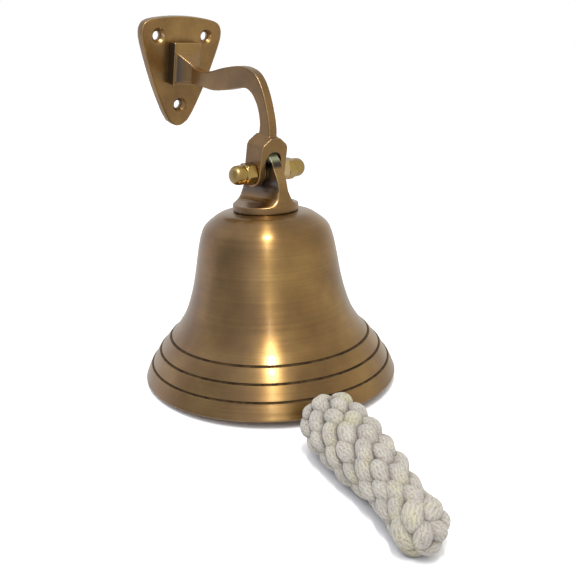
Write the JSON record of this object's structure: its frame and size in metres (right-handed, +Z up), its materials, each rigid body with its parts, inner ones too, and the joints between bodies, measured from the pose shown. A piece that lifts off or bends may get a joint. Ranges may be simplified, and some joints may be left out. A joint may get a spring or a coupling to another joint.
{
  "type": "ship bell",
  "caption": "Brushed antique brass ship bell on a swan-neck wall bracket, with a clapper and a braided cotton rope lanyard.",
  "frame": {"origin": "on the table, under the middle of bell and bracket; the bell stands on its rim", "axes": "+Z up, +Y towards the wall, pivot pin along X, lanyard lies towards -Y and -X"},
  "size_m": [0.1542, 0.2733, 0.2062],
  "materials": {
    "bracket_brass": "cast and brushed, antique tarnish",
    "bell_brass": "turned and brushed, antique lacquer",
    "nut_brass": "turned, worn satin",
    "hardware_brass": "plain turned, slightly dull",
    "clapper_brass": "cast, dull satin",
    "cotton_rope": "undyed cotton rope, matt, slightly soiled"
  },
  "bodies": {
    "bracket": {"wall_plate": "bracket_brass", "bracket_arm": "bracket_brass", "pivot_pin": "nut_brass", "dome_nut_left": "nut_brass", "dome_nut_right": "nut_brass", "nut_washer_right": "hardware_brass", "spacer_washer_left": "hardware_brass", "spacer_washer_right": "hardware_brass"},
    "bell": {"crown_yoke": "bell_brass", "bell_shell": "bell_brass", "hanger_eye": "hardware_brass", "hanger_washer": "hardware_brass", "hanger_nut": "hardware_brass"},
    "link": {"clapper_link": "clapper_brass"},
    "clapper": {"clapper_rod": "clapper_brass", "clapper_ball": "clapper_brass"},
    "lanyard": {"lanyard_loop": "cotton_rope", "lanyard_cord": "cotton_rope", "lanyard_handle": "cotton_rope", "lanyard_knot": "cotton_rope"}
  },
  "joints": [
    {"name": "bell_swing", "type": "hinge", "parent": "bracket", "child": "bell", "pos_m": [0, -0.00554, 0.12167], "axis": [1, 0, 0], "range_deg": [-33, 20]},
    {"name": "clapper_fore_aft", "type": "hinge", "parent": "bell", "child": "link", "pos_m": [0, -0.00719, 0.0767], "axis": [1, 0, 0], "range_deg": [-37, 34]},
    {"name": "clapper_sideways", "type": "hinge", "parent": "link", "child": "clapper", "pos_m": [0, -0.00719, 0.0627], "axis": [0, 1, 0], "range_deg": [-12, 12]},
    {"name": "lanyard_fold", "type": "hinge", "parent": "clapper", "child": "lanyard", "pos_m": [0, -0.00719, 0.0103], "axis": [0.936, -0.352, 0], "range_deg": [0, 80], "deforming": ["lanyard_loop", "lanyard_cord"]}
  ]
}
